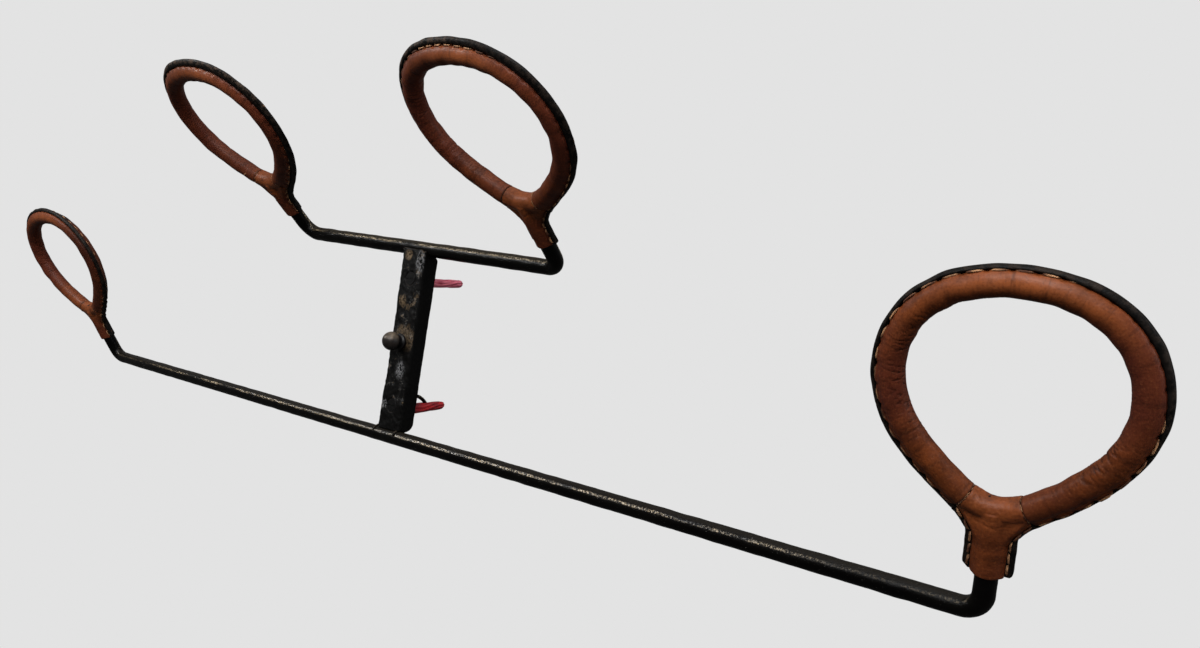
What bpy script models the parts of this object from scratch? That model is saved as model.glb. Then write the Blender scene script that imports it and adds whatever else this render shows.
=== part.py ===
"""Wall coat rack: two iron rods on an upright bar, with four leather-covered loops.

Metres, +Z up. The origin is the middle of the bar's rear face, which lies on the wall. +X runs along
the rods to the right and +Y points into the wall. Each rod end turns up and forward into a stem, and
each stem carries a closed steel loop covered in leather. Every loop has its own local frame at the
rod's corner: u to the right, v up the stem and f out of the loop's front.
"""
import math

import bmesh
import bpy
from mathutils import Matrix, Quaternion, Vector

GAP = 0.0003                  # clearance between pieces that touch

# Rods
ROD_R = 0.0050
LOWER_HALF = 0.4047           # from the rod's middle to the corner where it turns up
LOWER_OFFSET = -0.0023        # where the lower rod's middle is along X, from the bar's
UPPER_HALF = 0.1297
ROD_SPACING = 0.1321          # between the two rods' axes at the bar
ROD_BEND = 0.0100             # centre-line radius of the corners
ROD_Y = -0.0098               # the lower rod's axis stands this far off the wall
UPPER_Y = -0.0074
UPPER_SLOPE = math.radians(1.6)   # the upper rod is welded slightly down towards +X
ROD_SIDES = 14

# Mounting bar
BAR_WIDTH = 0.0224
BAR_DEPTH = 0.0129
BAR_FRONT_ROUND = 0.0026
BAR_REAR_ROUND = 0.0008
BAR_FOOT_ROUND = 0.0068       # rear lower corner, rounded down to the lower rod
BAR_HEAD_ROUND = 0.0048       # rear upper corner

# Wall fixings, at equal distances above and below the bar's middle
FIXING_Z = 0.0443
SCREW_R = 0.0021
SCREW_HEAD_R = 0.0046
SCREW_HEAD_DEPTH = 0.0026
SCREW_SLOT = 0.0011
SCREW_END = 0.0300
PLUG_R = 0.0033
PLUG_START = 0.0023
PLUG_END = 0.0350
PLUG_RIBS = 6
WIRE_R = 0.0007

# Knob on the bar's front
KNOB_R = 0.0065
KNOB_STAND = 0.0076           # from the bar's front face to the ball's middle
KNOB_NECK_R = 0.0047
STUD_R = 0.0020
STUD_DEPTH = 0.0070

# Loop outline, as the distance from its middle: a broad top that narrows to a V on the stem
RING_CENTRE = 0.08685         # up the stem from the rod's corner
RING_MEAN = 0.04766
RING_TOP_HEAVY = 0.01317      # how much wider the top is than the foot
RING_FLAT = 0.00107
RING_SHOULDER = 0.00326       # how square the shoulders are

# Loop section: steel core, leather skin and the sewn edge that stands out around it
CORE_R = 0.0043
SKIN_IN = CORE_R + GAP
SKIN_OUT = 0.0058
EDGE_HALF = 0.0014            # each of the sewn edge's two leather layers
SEAM_R = 0.0062               # the stitch line, where the front leather drops to the edge
SEAM_RISE = 0.0021
DRAPE = math.radians(32)      # where the front leather leaves the core for the stitch line
REAR_SEAM = math.radians(262)     # where the front and back leather meet, behind the loop
RING_STEPS = 30

# Yoke and stem sheath
YOKE_ANGLE = math.radians(22)     # the ring covers stop at this angle either side of the foot
YOKE_GAP = math.radians(0.5)
SHEATH_START = 0.0210         # up the stem from the rod's corner
SHEATH_IN = ROD_R + GAP
SHEATH_OUT = 0.0064
SHEATH_HALF_WIDTH = 0.0104

# The loops are bent and sewn by hand, so each leans and measures a little differently.
# rod, side, forward tilt, sideways lean, turn about the stem (degrees), height and width factors,
# and how far the sewn edge's tip stands from the core's axis
LOOPS = {
    "lower_left": ("lower", -1, 32.2, -5.7, 0.9, 0.980, 1.031, 0.0088),
    "lower_right": ("lower", 1, 24.7, 3.4, 3.3, 1.042, 0.893, 0.0079),
    "upper_left": ("upper", -1, 50.7, -0.8, -3.2, 0.977, 1.028, 0.0100),
    "upper_right": ("upper", 1, 49.8, 0.3, -6.0, 1.002, 1.047, 0.0092),
}

BLACK_IRON = (0.018, 0.017, 0.016, 1.0)
BARE_STEEL = (0.30, 0.29, 0.27, 1.0)
BRONZE = (0.10, 0.065, 0.045, 1.0)
TAN = (0.26, 0.085, 0.030, 1.0)
BLACK_LEATHER = (0.014, 0.012, 0.011, 1.0)
PLUG_RED = (0.62, 0.03, 0.05, 1.0)


def material(name, color, roughness, metallic=0.0):
    mat = bpy.data.materials.new(name)
    mat.use_nodes = True
    shader = mat.node_tree.nodes["Principled BSDF"]
    shader.inputs["Base Color"].default_value = color
    shader.inputs["Roughness"].default_value = roughness
    shader.inputs["Metallic"].default_value = metallic
    mat.diffuse_color = color
    return mat


def add_object(name, bm, mat, parent=None, smooth=True):
    """Turn a bmesh into an object with its faces pointing out."""
    bmesh.ops.recalc_face_normals(bm, faces=bm.faces)
    mesh = bpy.data.meshes.new(name)
    bm.to_mesh(mesh)
    bm.free()
    if smooth:
        mesh.shade_smooth()
        mesh.set_sharp_from_angle(angle=math.radians(35))
    if mat:
        mesh.materials.append(mat)
    obj = bpy.data.objects.new(name, mesh)
    bpy.context.collection.objects.link(obj)
    obj.parent = parent
    return obj


def combine(target, other, operation):
    """Apply one exact Boolean and remove the other solid."""
    other.display_type = "WIRE"
    other.hide_render = True
    cut = target.modifiers.new("cut", "BOOLEAN")
    cut.operation = operation
    cut.solver = "EXACT"
    cut.object = other
    bpy.context.view_layer.update()
    graph = bpy.context.evaluated_depsgraph_get()
    mesh = bpy.data.meshes.new_from_object(target.evaluated_get(graph))
    old = target.data
    target.modifiers.clear()
    target.data = mesh
    mesh.name = target.name
    bpy.data.meshes.remove(old)
    bpy.data.objects.remove(other)
    return target


# ---------------------------------------------------------------- shapes

def loft(frames, section, closed=False):
    """Skin one section, given as (a, b) points, along frames of (origin, a axis, b axis)."""
    bm = bmesh.new()
    rows = []
    for origin, a_axis, b_axis in frames:
        rows.append([bm.verts.new(origin + a_axis * a + b_axis * b) for a, b in section])
    count = len(section)
    pairs = list(zip(rows, rows[1:]))
    if closed:
        pairs.append((rows[-1], rows[0]))
    for row, after in pairs:
        for i in range(count):
            j = (i + 1) % count
            bm.faces.new((row[i], row[j], after[j], after[i]))
    if not closed:
        bm.faces.new(rows[0])
        bm.faces.new(list(reversed(rows[-1])))
    return bm


def circle(radius, sides, start=0.0):
    step = 2 * math.pi / sides
    return [(radius * math.cos(start + i * step), radius * math.sin(start + i * step))
            for i in range(sides)]


def arc(radius, first, last, steps):
    return [(radius * math.cos(first + (last - first) * i / steps),
             radius * math.sin(first + (last - first) * i / steps)) for i in range(steps + 1)]


def path_frames(points):
    """Frames that follow a path without twisting."""
    frames = []
    tangent = (points[1] - points[0]).normalized()
    a_axis = tangent.orthogonal().normalized()
    for i, point in enumerate(points):
        before = points[max(i - 1, 0)]
        after = points[min(i + 1, len(points) - 1)]
        new = (after - before).normalized()
        a_axis = tangent.rotation_difference(new) @ a_axis
        a_axis = (a_axis - new * a_axis.dot(new)).normalized()
        tangent = new
        frames.append((point, a_axis, tangent.cross(a_axis)))
    return frames


def fillet(corner, toward_first, toward_last, radius, steps=6):
    """Points of the round corner between two straight runs that leave the corner."""
    angle = toward_first.angle(toward_last)
    reach = radius / math.tan(angle / 2)
    middle = (toward_first + toward_last).normalized()
    centre = corner + middle * (radius / math.sin(angle / 2))
    first = corner + toward_first * reach - centre
    last = corner + toward_last * reach - centre
    turn = first.rotation_difference(last)
    return [centre + Quaternion().slerp(turn, i / steps) @ first for i in range(steps + 1)]


def turned(profile, sides, centre):
    """Turn a profile of (radius, y) points about the +Y axis through centre."""
    bm = bmesh.new()
    rows = []
    for radius, y in profile:
        if radius == 0:
            rows.append([bm.verts.new(centre + Vector((0, y, 0)))])
        else:
            rows.append([bm.verts.new(centre + Vector((px, y, pz))) for px, pz in circle(radius, sides)])
    for row, after in zip(rows, rows[1:]):
        for i in range(sides):
            j = (i + 1) % sides
            if len(row) == 1:
                bm.faces.new((row[0], after[j], after[i]))
            elif len(after) == 1:
                bm.faces.new((row[i], row[j], after[0]))
            else:
                bm.faces.new((row[i], row[j], after[j], after[i]))
    return bm


def block(low, high):
    bm = bmesh.new()
    bmesh.ops.create_cube(bm, size=1.0)
    size = Vector(high) - Vector(low)
    bmesh.ops.scale(bm, vec=size, verts=bm.verts)
    bmesh.ops.translate(bm, vec=(Vector(low) + Vector(high)) / 2, verts=bm.verts)
    return bm


# ---------------------------------------------------------------- layout

def rod_axis(rod):
    """A point on the rod's axis at the bar, and the rod's direction towards +X."""
    half = ROD_SPACING / 2
    if rod == "lower":
        return Vector((LOWER_OFFSET, ROD_Y, -half)), Vector((1, 0, 0))
    return Vector((0, UPPER_Y, half)), Vector((math.cos(UPPER_SLOPE), 0, -math.sin(UPPER_SLOPE)))


def rod_corner(rod, side):
    origin, along = rod_axis(rod)
    reach = LOWER_HALF if rod == "lower" else UPPER_HALF
    return origin + along * side * reach


def loop_turn(tilt, lean, turn):
    """Rotation from a loop's own axes (u, back, v) to the rack's axes."""
    return (Matrix.Rotation(math.radians(tilt), 3, "X") @ Matrix.Rotation(math.radians(lean), 3, "Y")
            @ Matrix.Rotation(math.radians(turn), 3, "Z"))


def ring_point(angle, height, width):
    """Centre line of a loop at an angle measured round from its foot."""
    radius = (RING_MEAN - RING_TOP_HEAVY * math.cos(angle) - RING_FLAT * math.cos(2 * angle)
              + RING_SHOULDER * math.cos(3 * angle))
    u = radius * math.sin(angle) * width
    v = (RING_CENTRE - radius * math.cos(angle)) * height
    return Vector((u, 0, v))


def ring_frames(first, last, steps, height, width):
    """Frames round the loop: a points out of the ring and b out of its front."""
    frames = []
    small = 0.001
    for i in range(steps + 1):
        angle = first + (last - first) * i / steps
        run = ring_point(angle + small, height, width) - ring_point(angle - small, height, width)
        out = Vector((run.z, 0, -run.x)).normalized()
        frames.append((ring_point(angle, height, width), out, Vector((0, -1, 0))))
    return frames


# ---------------------------------------------------------------- iron work

def make_rod(name, rod, mat):
    """One rod with both stems, swept from the left loop's foot to the right loop's foot."""
    ends = {}
    for which, side, tilt, lean, turn, height, width, _ in LOOPS.values():
        if which == rod:
            stem = loop_turn(tilt, lean, turn) @ Vector((0, 0, 1))
            top = ring_point(0, height, width).z - CORE_R - GAP
            ends[side] = (rod_corner(rod, side), stem, top)
    along = rod_axis(rod)[1]
    corner, stem, top = ends[-1]
    points = [corner + stem * top] + fillet(corner, stem, along, ROD_BEND)
    corner, stem, top = ends[1]
    points += fillet(corner, -along, stem, ROD_BEND) + [corner + stem * top]
    add_object(name, loft(path_frames(points), circle(ROD_R, ROD_SIDES)), mat)


def rounded_plan():
    """Plan of the bar, with large front corners and small rear ones."""
    half = BAR_WIDTH / 2
    plan = []
    for x_side, y, radius, first in ((-1, 0.0, BAR_REAR_ROUND, 180), (-1, -BAR_DEPTH, BAR_FRONT_ROUND, 270),
                                     (1, -BAR_DEPTH, BAR_FRONT_ROUND, 0), (1, 0.0, BAR_REAR_ROUND, 90)):
        inward = 1 if y < 0 else -1
        centre = (x_side * (half - radius), y + inward * radius)
        quarter = arc(radius, math.radians(first), math.radians(first - 90), 3)
        if first in (270, 0):
            quarter = arc(radius, math.radians(180 if x_side < 0 else 270),
                          math.radians(270 if x_side < 0 else 360), 3)
        else:
            quarter = arc(radius, math.radians(90 if x_side < 0 else 0),
                          math.radians(180 if x_side < 0 else 90), 3)
        plan.append([(centre[0] + a, centre[1] + b) for a, b in quarter])
    return plan[0] + plan[1] + plan[2] + plan[3]


def bar_profile():
    """Side view of the bar: straight front and rear faces, rounded down to the rods at the rear."""
    top = ROD_SPACING / 2
    rear = []
    for y, z in arc(BAR_FOOT_ROUND, math.radians(-90), 0, 5):
        rear.append((y - BAR_FOOT_ROUND, z + BAR_FOOT_ROUND - top + ROD_R - 0.0004))
    for y, z in arc(BAR_HEAD_ROUND, 0, math.radians(90), 4):
        rear.append((y - BAR_HEAD_ROUND, z - BAR_HEAD_ROUND + top - ROD_R + 0.0012))
    front = -BAR_DEPTH - 0.002
    return [(front, -top), (ROD_Y, -top)] + rear + [(UPPER_Y, top), (front, top)]


def make_bar(mat):
    """Upright bar, saddled over both rods and drilled for the screws and the knob's stud."""
    top = ROD_SPACING / 2
    plan = loft([(Vector((0, 0, z)), Vector((1, 0, 0)), Vector((0, 1, 0))) for z in (-top, top)],
                rounded_plan())
    bar = add_object("mounting_bar", plan, mat)
    side = loft([(Vector((x, 0, 0)), Vector((0, 1, 0)), Vector((0, 0, 1))) for x in (-0.02, 0.02)],
                bar_profile())
    combine(bar, add_object("side_view", side, None), "INTERSECT")
    for rod in ("lower", "upper"):
        origin, along = rod_axis(rod)
        frames = path_frames([origin - along * 0.03, origin + along * 0.03])
        combine(bar, add_object("saddle", loft(frames, circle(ROD_R + GAP, 28)), None), "DIFFERENCE")
    for z in (-FIXING_Z, FIXING_Z):
        sink = SCREW_HEAD_DEPTH
        profile = [(0, -0.002), (SCREW_HEAD_R + GAP, -0.002), (SCREW_HEAD_R + GAP, 0.0004),
                   (SCREW_R + GAP, sink + 0.0004), (SCREW_R + GAP, 0.02), (0, 0.02)]
        hole = turned(profile, 16, Vector((0, -BAR_DEPTH, z)))
        combine(bar, add_object("hole", hole, None), "DIFFERENCE")
    stud = turned([(0, -0.002), (STUD_R + GAP, -0.002), (STUD_R + GAP, STUD_DEPTH + GAP),
                   (0, STUD_DEPTH + GAP)], 12, Vector((0, -BAR_DEPTH, 0)))
    combine(bar, add_object("stud_hole", stud, None), "DIFFERENCE")
    bar.data.shade_smooth()
    bar.data.set_sharp_from_angle(angle=math.radians(35))


def make_knob(mat):
    """Ball-headed knob with a neck, held by a stud in the bar."""
    profile = [(0, -KNOB_STAND - KNOB_R)]
    for step in range(1, 8):
        angle = math.radians(180 * step / 10)
        profile.append((KNOB_R * math.sin(angle), -KNOB_STAND - KNOB_R * math.cos(angle)))
    profile += [(KNOB_NECK_R, -0.0024), (KNOB_NECK_R + 0.0009, -0.0018), (KNOB_NECK_R + 0.0009, -GAP),
                (STUD_R, -GAP), (STUD_R, STUD_DEPTH), (0, STUD_DEPTH)]
    add_object("knob", turned(profile, 20, Vector((0, -BAR_DEPTH, 0))), mat)


def make_fixing(place, z, screw_mat, plug_mat):
    """One wall screw through the bar, and the ribbed plug that it expands in the wall."""
    head = 0.0002
    profile = [(0, head), (SCREW_HEAD_R, head), (SCREW_R, head + SCREW_HEAD_DEPTH),
               (SCREW_R, BAR_DEPTH + SCREW_END - 0.004), (0, BAR_DEPTH + SCREW_END)]
    centre = Vector((0, -BAR_DEPTH, z))
    screw = add_object(place + "_wall_screw", turned(profile, 14, centre), screw_mat)
    slot = block((-0.006, -BAR_DEPTH - 0.001, z - SCREW_SLOT / 2),
                 (0.006, -BAR_DEPTH + head + 0.0010, z + SCREW_SLOT / 2))
    combine(screw, add_object("slot", slot, None), "DIFFERENCE")

    bm = bmesh.new()
    rows = []
    bore = SCREW_R + GAP
    sides = PLUG_RIBS * 2
    stations = ((PLUG_START, bore, PLUG_R * 0.9), (PLUG_START + 0.001, bore, PLUG_R),
                (PLUG_END - 0.005, bore, PLUG_R * 0.96), (PLUG_END, bore * 0.6, PLUG_R * 0.74))
    for y, inner, outer in stations:
        outside = []
        for i in range(sides):
            radius = outer if i % 2 == 0 else outer - 0.0004
            angle = 2 * math.pi * i / sides
            outside.append(bm.verts.new((radius * math.cos(angle), y, z + radius * math.sin(angle))))
        inside = [bm.verts.new((a, y, z + b)) for a, b in circle(inner, sides)]
        rows.append((outside, inside))
    for i in range(sides):
        j = (i + 1) % sides
        for (outside, inside), (outside_2, inside_2) in zip(rows, rows[1:]):
            bm.faces.new((outside[i], outside[j], outside_2[j], outside_2[i]))
            bm.faces.new((inside[j], inside[i], inside_2[i], inside_2[j]))
        for outside, inside in (rows[0], rows[-1]):
            bm.faces.new((outside[i], inside[i], inside[j], outside[j]))
    add_object(place + "_wall_plug", bm, plug_mat)


def make_wire_tab(mat):
    """Short black wire that runs out behind the bar and hooks down onto the lower plug."""
    z = -FIXING_Z + PLUG_R + WIRE_R + GAP
    side_view = ((PLUG_START, 0.0042), (0.0080, 0.0046), (0.0130, 0.0044), (0.0170, 0.0034),
                 (0.0195, 0.0018), (0.0202, 0))
    points = [Vector((0, y, z + rise)) for y, rise in side_view]
    add_object("rear_wire_tab", loft(path_frames(points), circle(WIRE_R, 8)), mat)


# ---------------------------------------------------------------- leather loops

def front_section(edge):
    """Tan leather: the front layer of the sewn edge, then the ring's front, inside and rear."""
    start = math.asin(GAP / 2 / SKIN_IN)
    outer = arc(SKIN_OUT, DRAPE, REAR_SEAM, 7)
    inner = arc(SKIN_IN, REAR_SEAM, start, 7)
    return [(edge, GAP / 2), (edge, EDGE_HALF), (SEAM_R, SEAM_RISE)] + outer + inner


def back_section(edge):
    """Black leather: the rear layer of the sewn edge and the outside of the ring."""
    meet = math.asin(EDGE_HALF / SKIN_OUT)
    start = math.asin(GAP / 2 / SKIN_IN)
    seam = REAR_SEAM - 2 * math.pi + GAP / SKIN_OUT
    outer = arc(SKIN_OUT, -meet, seam, 4)
    inner = arc(SKIN_IN, seam, -start, 3)
    return [(edge, -GAP / 2), (edge, -EDGE_HALF)] + outer + inner


def edged_circle(radius, tips, sides):
    """A round section with a flat sewn edge on the a axis, on one side or both."""
    meet = math.asin(EDGE_HALF / radius)
    if len(tips) == 1:
        return [(tips[0], -EDGE_HALF), (tips[0], EDGE_HALF)] + arc(radius, meet, 2 * math.pi - meet, sides)
    top = arc(radius, meet, math.pi - meet, sides // 2)
    low = arc(radius, math.pi + meet, 2 * math.pi - meet, sides // 2)
    return ([(tips[0], -EDGE_HALF), (tips[0], EDGE_HALF)] + top
            + [(tips[1], EDGE_HALF), (tips[1], -EDGE_HALF)] + low)


def yoke_half(name, front, height, width, edge, mat, frame):
    """Y-shaped leather over the loop's foot and the stem: its front half or its rear half."""
    reach = YOKE_ANGLE - YOKE_GAP
    foot = ring_point(0, height, width).z
    arms = loft(ring_frames(-reach, reach, 8, height, width), edged_circle(SKIN_OUT, (edge,), 12))
    yoke = add_object(name, arms, mat, frame)
    axes = (Vector((1, 0, 0)), Vector((0, -1, 0)))
    stem = loft([(Vector((0, 0, v)), *axes) for v in (SHEATH_START, foot)],
                edged_circle(SHEATH_OUT, (SHEATH_HALF_WIDTH, -SHEATH_HALF_WIDTH), 12))
    combine(yoke, add_object("stem", stem, None, frame), "UNION")
    near, far = (-0.05, -GAP / 2) if front else (GAP / 2, 0.05)
    keep = block((-0.05, near, 0.0), (0.05, far, 0.1))
    combine(yoke, add_object("keep", keep, None, frame), "INTERSECT")
    core = loft(ring_frames(-2 * reach, 2 * reach, 16, height, width), circle(SKIN_IN, 12))
    combine(yoke, add_object("core_room", core, None, frame), "DIFFERENCE")
    through = [(Vector((0, 0, v)), *axes) for v in (SHEATH_START - 0.01, foot)]
    rod = loft(through, circle(SHEATH_IN, ROD_SIDES))
    combine(yoke, add_object("rod_room", rod, None, frame), "DIFFERENCE")


def make_loop(key, mats):
    """One loop: steel core, tan front, black back and the two halves of its yoke."""
    rod, side, tilt, lean, turn, height, width, edge = LOOPS[key]
    frame = bpy.data.objects.new(key + "_frame", None)
    bpy.context.collection.objects.link(frame)
    frame.matrix_world = Matrix.Translation(rod_corner(rod, side)) @ loop_turn(tilt, lean, turn).to_4x4()
    bpy.context.view_layer.update()

    full = ring_frames(0, 2 * math.pi, RING_STEPS, height, width)[:-1]
    add_object(key + "_loop_core", loft(full, circle(CORE_R, 8), closed=True), mats["iron"], frame)
    covered = ring_frames(YOKE_ANGLE, 2 * math.pi - YOKE_ANGLE, RING_STEPS - 4, height, width)
    add_object(key + "_loop_front", loft(covered, front_section(edge)), mats["tan"], frame)
    add_object(key + "_loop_back", loft(covered, back_section(edge)), mats["black"], frame)
    yoke_half(key + "_yoke_front", True, height, width, edge, mats["tan"], frame)
    yoke_half(key + "_yoke_back", False, height, width, edge, mats["black"], frame)


def main():
    for obj in list(bpy.data.objects):
        bpy.data.objects.remove(obj)
    iron = material("black_iron", BLACK_IRON, 0.5, 0.3)
    leathers = {"iron": iron, "tan": material("tan_leather", TAN, 0.45),
                "black": material("black_leather", BLACK_LEATHER, 0.5)}
    make_rod("lower_rod", "lower", iron)
    make_rod("upper_rod", "upper", iron)
    make_bar(iron)
    make_knob(material("knob_bronze", BRONZE, 0.4, 0.8))
    screw = material("screw_steel", BARE_STEEL, 0.4, 0.9)
    plug = material("plug_red", PLUG_RED, 0.4)
    make_fixing("upper", FIXING_Z, screw, plug)
    make_fixing("lower", -FIXING_Z, screw, plug)
    make_wire_tab(iron)
    for key in LOOPS:
        make_loop(key, leathers)


main()
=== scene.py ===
"""Looks of the wall coat rack: two black iron rods on a forged bar, and four leather-covered loops.

Everything is in metres, in the CAD model's frame: the origin is the middle of the bar's rear face, +X
runs along the rods, +Y points into the wall and +Z is up. Each loop is built in its own frame at the
rod's corner (u to the right, v up the stem, front towards -Y) and then moved to its place. Around a
loop's core, a section point is given as (e, n): e points out of the ring and n out of its front.
"""
import math

import bmesh
import bpy
import numpy as np
from mathutils import Matrix, Quaternion, Vector


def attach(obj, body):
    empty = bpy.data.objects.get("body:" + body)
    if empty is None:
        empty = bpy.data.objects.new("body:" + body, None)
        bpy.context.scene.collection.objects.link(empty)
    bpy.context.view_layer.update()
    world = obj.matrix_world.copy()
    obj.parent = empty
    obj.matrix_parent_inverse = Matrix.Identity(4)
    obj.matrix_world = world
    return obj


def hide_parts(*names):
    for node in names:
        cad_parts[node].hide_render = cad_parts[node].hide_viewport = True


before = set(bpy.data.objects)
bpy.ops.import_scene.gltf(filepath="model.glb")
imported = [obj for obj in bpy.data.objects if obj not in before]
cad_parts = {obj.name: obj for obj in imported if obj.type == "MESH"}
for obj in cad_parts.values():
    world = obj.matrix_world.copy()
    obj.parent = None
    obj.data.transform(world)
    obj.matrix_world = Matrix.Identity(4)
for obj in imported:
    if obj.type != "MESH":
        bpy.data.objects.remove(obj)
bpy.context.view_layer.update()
MM = 0.001

# ---------------------------------------------------------------- sizes shared with the CAD model

GAP = 0.3 * MM
ROD_R = 5.0 * MM
LOWER_HALF = 404.7 * MM       # from the rod's middle to the corner where it turns up
LOWER_OFFSET = -2.3 * MM
UPPER_HALF = 129.7 * MM
ROD_SPACING = 132.1 * MM
ROD_BEND = 10.0 * MM
ROD_Y = -9.8 * MM
UPPER_Y = -7.4 * MM
UPPER_SLOPE = math.radians(1.6)

BAR_WIDTH = 22.4 * MM
BAR_DEPTH = 12.9 * MM
FIXING_Z = 44.3 * MM
SCREW_HEAD_R = 4.6 * MM
SCREW_R = 2.1 * MM
PLUG_R = 3.3 * MM
PLUG_START = 2.3 * MM
PLUG_END = 35.0 * MM
KNOB_R = 6.5 * MM
KNOB_STAND = 7.6 * MM
KNOB_NECK_R = 4.7 * MM

RING_CENTRE = 86.85 * MM
RING_MEAN = 47.66 * MM
RING_TOP_HEAVY = 13.17 * MM
RING_FLAT = 1.07 * MM
RING_SHOULDER = 3.26 * MM

SKIN_IN = 4.6 * MM            # leather on the loop's steel core
SKIN_OUT = 5.8 * MM
REAR_SEAM = 262               # degrees round the section, where tan and black leather meet behind
YOKE_ANGLE = math.radians(22)
SHEATH_HALF_WIDTH = 10.4 * MM

# rod, side, forward tilt, sideways lean, turn about the stem (degrees), height and width factors
LOOPS = {
    "lower_left": ("lower", -1, 32.2, -5.7, 0.9, 0.980, 1.031),
    "lower_right": ("lower", 1, 24.7, 3.4, 3.3, 1.042, 0.893),
    "upper_left": ("upper", -1, 50.7, -0.8, -3.2, 0.977, 1.028),
    "upper_right": ("upper", 1, 49.8, 0.3, -6.0, 1.002, 1.047),
}

# ---------------------------------------------------------------- sizes of the looks alone

# How each wall plug and its screw lie behind the bar: height, drop below that and upward slope
FIXINGS = {"upper": (FIXING_Z, 0.9 * MM, 0.12), "lower": (-FIXING_Z, 2.2 * MM, 0.13)}
SLOT_SIZE = (7.2 * MM, 1.3 * MM, 0.9 * MM)
BAR_FLARE = 1.1 * MM
AXIS = 1e-6                   # radius of a turned shape where it closes on its axis

FRONT_LEAVES = 36             # degrees round the section, where the tan leather leaves the core
WEB_START, WEB_END = 21.5, 12     # degrees from the foot, where the web grows between arm and stem
WEB_DEPTH = 4.0 * MM
YOKE_VOXEL = 0.36 * MM
RING_THREAD_R = 0.44 * MM
YOKE_THREAD_R = 0.52 * MM
YOKE_STITCH = 5.9 * MM
THREAD_GIRTH = 2.5 * MM
RUN_STEP = 0.5 * MM           # between a ring's sections
SEAM_WIDTH = 0.45 * MM        # how far the cover is drawn in beside the yoke's seams

# How each loop is sewn. Distances are in mm from the core's middle, places in degrees round from its foot.
# edge, stitch: how far out the edge and the stitch line lie at the lower right, upper right, top and left;
# pitch: length of a stitch; fold: from where to where the black leather rolls over the stitches; raised:
# where the front stitches stand clear; rubbed: where the edge is worn; creased: middle, spread and depth of
# its folds, whose valleys are also painted darker as shade; handled_and_highlight: middle, spread and
# strength of its paler top, partly handling and partly a painted highlight
SEWING = {
    "lower_left": {"edge": (8.8, 6.9, 8.4, 9.2), "stitch": (6.2, 4.6, 5.5, 6.4), "pitch": 7.2,
                   "fold": (62, 205), "raised": (55, 205), "rubbed": (0, 0),
                   "creased": ((240, 26, 0.5), (300, 20, 0.4)), "handled_and_highlight": (168, 34, 0.70)},
    "lower_right": {"edge": (7.2, 8.2, 7.3, 8.9), "stitch": (6.5, 5.0, 4.9, 6.2), "pitch": 8.2,
                    "fold": (104, 163), "raised": (62, 235), "rubbed": (0, 0),
                    "creased": ((250, 34, 1.0), (76, 26, 0.85)), "handled_and_highlight": (180, 40, 0.95)},
    "upper_left": {"edge": (11.8, 12.3, 9.7, 9.3), "stitch": (8.2, 5.6, 5.3, 6.5), "pitch": 7.2,
                   "fold": (72, 205), "raised": (35, 205), "rubbed": (118, 222),
                   "creased": ((235, 22, 0.7), (310, 25, 0.4)), "handled_and_highlight": (162, 34, 0.60)},
    "upper_right": {"edge": (7.7, 10.1, 9.2, 9.8), "stitch": (6.3, 5.1, 5.3, 6.6), "pitch": 7.2,
                    "fold": (88, 148), "raised": (35, 205), "rubbed": (172, 228),
                    "creased": ((232, 20, 1.0), (285, 25, 0.4)), "handled_and_highlight": (170, 32, 0.85)},
}
FRONT = np.array([0.0, -1.0, 0.0])    # out of a loop's front, in its own frame


# ---------------------------------------------------------------- mesh helpers

def ripple(points, wavelength, seed, waves=18):
    """A smooth random field of about unit size over points, with features about a wavelength wide."""
    rng = np.random.default_rng(seed)
    direction = rng.normal(size=(waves, points.shape[-1]))
    direction /= np.linalg.norm(direction, axis=1, keepdims=True)
    number = 2 * math.pi / wavelength * rng.uniform(0.6, 1.5, waves)
    phase = rng.uniform(0, 2 * math.pi, waves)
    return np.sin(points @ (direction.T * number) + phase).sum(-1) * math.sqrt(2 / waves)


def smoothstep(low, high, value):
    t = np.clip((value - low) / (high - low), 0, 1)
    return t * t * (3 - 2 * t)


def bell(value, middle, spread):
    """1 where value is at the middle, falling smoothly to 0 a few spreads away."""
    return np.exp(-((value - middle) / spread) ** 2)


def polar(radius, degrees):
    """A point of a section from its distance and its direction, counted from e towards n."""
    turn = math.radians(degrees)
    return radius * math.cos(turn), radius * math.sin(turn)


def skin(points):
    """Vertices and faces of a closed section swept through rows of points, with a cap at both ends."""
    rows, cols = points.shape[:2]
    row = np.arange(rows - 1)[:, None] * cols
    col = np.arange(cols)[None, :]
    after = (col + 1) % cols
    quads = np.stack([row + col, row + after, row + cols + after, row + cols + col], axis=-1)
    caps = [list(range(cols)), list(range((rows - 1) * cols, rows * cols))]
    return points.reshape(-1, 3), quads.reshape(-1, 4).tolist() + caps


def join(parts):
    """The vertices and faces of several skins as one."""
    verts, faces = [], []
    for points, part_faces in parts:
        start = sum(len(v) for v in verts)
        verts.append(points)
        faces += [[i + start for i in face] for face in part_faces]
    return np.concatenate(verts), faces


def in_scene(name, data):
    obj = bpy.data.objects.new(name, data)
    bpy.context.scene.collection.objects.link(obj)
    return obj


def laid_out(along, girth):
    """Each vertex's place on a swept surface, from its place along the run and round the section."""
    return np.stack(np.broadcast_arrays(along[:, None], girth), -1).reshape(-1, 2)


def edited(mesh, change):
    """Let change work on a mesh as a bmesh."""
    bm = bmesh.new()
    bm.from_mesh(mesh)
    change(bm)
    bm.to_mesh(mesh)
    bm.free()


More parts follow.
